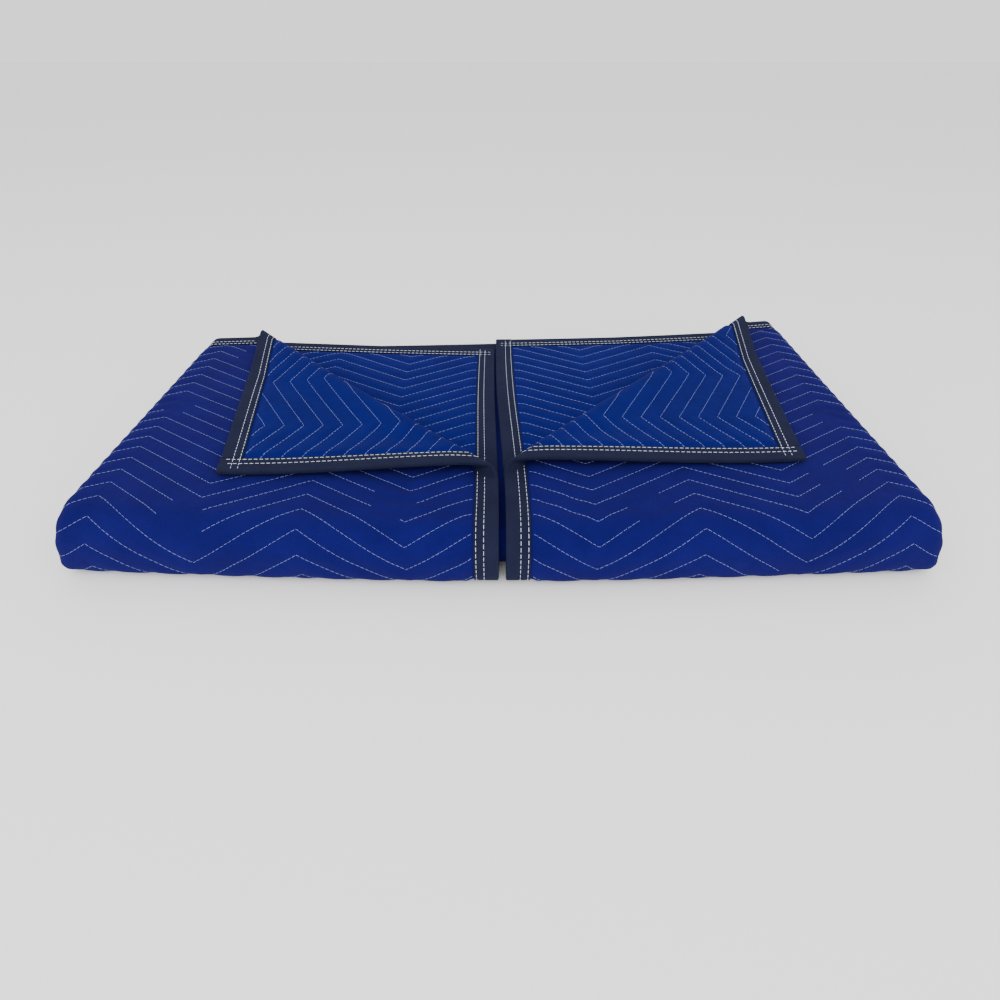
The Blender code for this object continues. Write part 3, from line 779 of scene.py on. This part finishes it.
tapes = [
    end_tape(OUTER_END, "tape_end_outer", tape_cloth),
    end_tape(INNER_END, "tape_end_inner", tape_cloth),
    side_tape(LEFT, "tape_side_left", tape_cloth),
    side_tape(RIGHT, "tape_side_right", tape_cloth),
]
solids = ("end_binding_outer", "end_binding_inner", "side_binding_left", "side_binding_right")
for made, node in zip(tapes, solids):
    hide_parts(node)


def cloth_lift(face):
    return lambda u, v: half_thickness(u, v, face) + THREAD_LIFT


def tape_lift(u, v):
    return np.full(np.shape(u), TAPE_OUTSIDE - TAPE_DIMPLE)


def inside(open_part):
    """Keeps stitches of the quilting that are clear of the binding."""
    return lambda u, v: open_part(u, v) & (from_edges(u, v) > MARGIN + QUILT_CLEAR)


quilting = [row_path(row) for row in range(-QUILT_ROWS, QUILT_ROWS + 1)]
threads = [
    sewn("quilting_thread_outer", quilting, OUTER_FACE, cloth_lift(OUTER_FACE), OUTER_THREAD,
         inside(outer_sewn), quilting_thread),
    sewn("quilting_thread_inner", quilting, INNER_FACE, cloth_lift(INNER_FACE), INNER_THREAD,
         inside(inner_open), quilting_thread),
    sewn("tape_thread_outer", tape_rows(), OUTER_FACE, tape_lift, TAPE_THREAD,
         outer_open, tape_thread),
    sewn("tape_thread_inner", tape_rows(), INNER_FACE, tape_lift, TAPE_THREAD,
         inner_open, tape_thread),
]

# Floor, light and camera
FLOOR_SIZE = 8.0
FLOOR_COLOUR = (0.93, 0.93, 0.93, 1)
FLOOR_ROUGHNESS = 0.9
SKY_COLOUR = (1.0, 1.0, 1.0, 1)
SKY_STRENGTH = 1.4

# Lamps: name, place, width and power
LAMPS = (
    ("key", (-0.9, -1.8, 1.7), 2.4, 50),
    ("fill", (1.6, -1.6, 1.5), 2.4, 25),
)

CAMERA_DOWN = math.radians(40.2)
CAMERA_LENS = 20.84
CAMERA_RIGHT = 0.001
CAMERA_ABOVE_TOP = 0.3988
CAMERA_BEFORE_NOSE = 0.4089

floor_mesh = bpy.data.meshes.new("floor")
floor_corners = [(x * FLOOR_SIZE, y * FLOOR_SIZE, 0) for x, y in ((-1, -1), (1, -1), (1, 1), (-1, 1))]
floor_mesh.from_pydata(floor_corners, [], [(0, 1, 2, 3)])
floor = bpy.data.objects.new("floor", floor_mesh)
bpy.context.scene.collection.objects.link(floor)
pale = bpy.data.materials.new("pale_floor")
pale.use_nodes = True
pale_shader = pale.node_tree.nodes["Principled BSDF"]
pale_shader.inputs["Base Color"].default_value = FLOOR_COLOUR
pale_shader.inputs["Roughness"].default_value = FLOOR_ROUGHNESS
floor_mesh.materials.append(pale)

world = bpy.data.worlds.new("studio")
world.use_nodes = True
sky = world.node_tree.nodes["Background"]
sky.inputs["Color"].default_value = SKY_COLOUR
sky.inputs["Strength"].default_value = SKY_STRENGTH
bpy.context.scene.world = world

for name, spot, size, power in LAMPS:
    lamp = bpy.data.lights.new(name, "AREA")
    lamp.size = size
    lamp.energy = power
    made = bpy.data.objects.new(name, lamp)
    made.location = spot
    toward = -np.array(spot)
    made.rotation_euler = (math.atan2(math.hypot(toward[0], toward[1]), -toward[2]), 0,
                           math.atan2(toward[1], toward[0]) - math.pi / 2)
    bpy.context.scene.collection.objects.link(made)

camera_data = bpy.data.cameras.new("camera")
camera_data.lens = CAMERA_LENS
camera = bpy.data.objects.new("camera", camera_data)
camera.location = (CAMERA_RIGHT, cad_low[1] - CAMERA_BEFORE_NOSE, THICK + CAMERA_ABOVE_TOP)
camera.rotation_euler = (math.pi / 2 - CAMERA_DOWN, 0, 0)
bpy.context.scene.collection.objects.link(camera)
bpy.context.scene.camera = camera
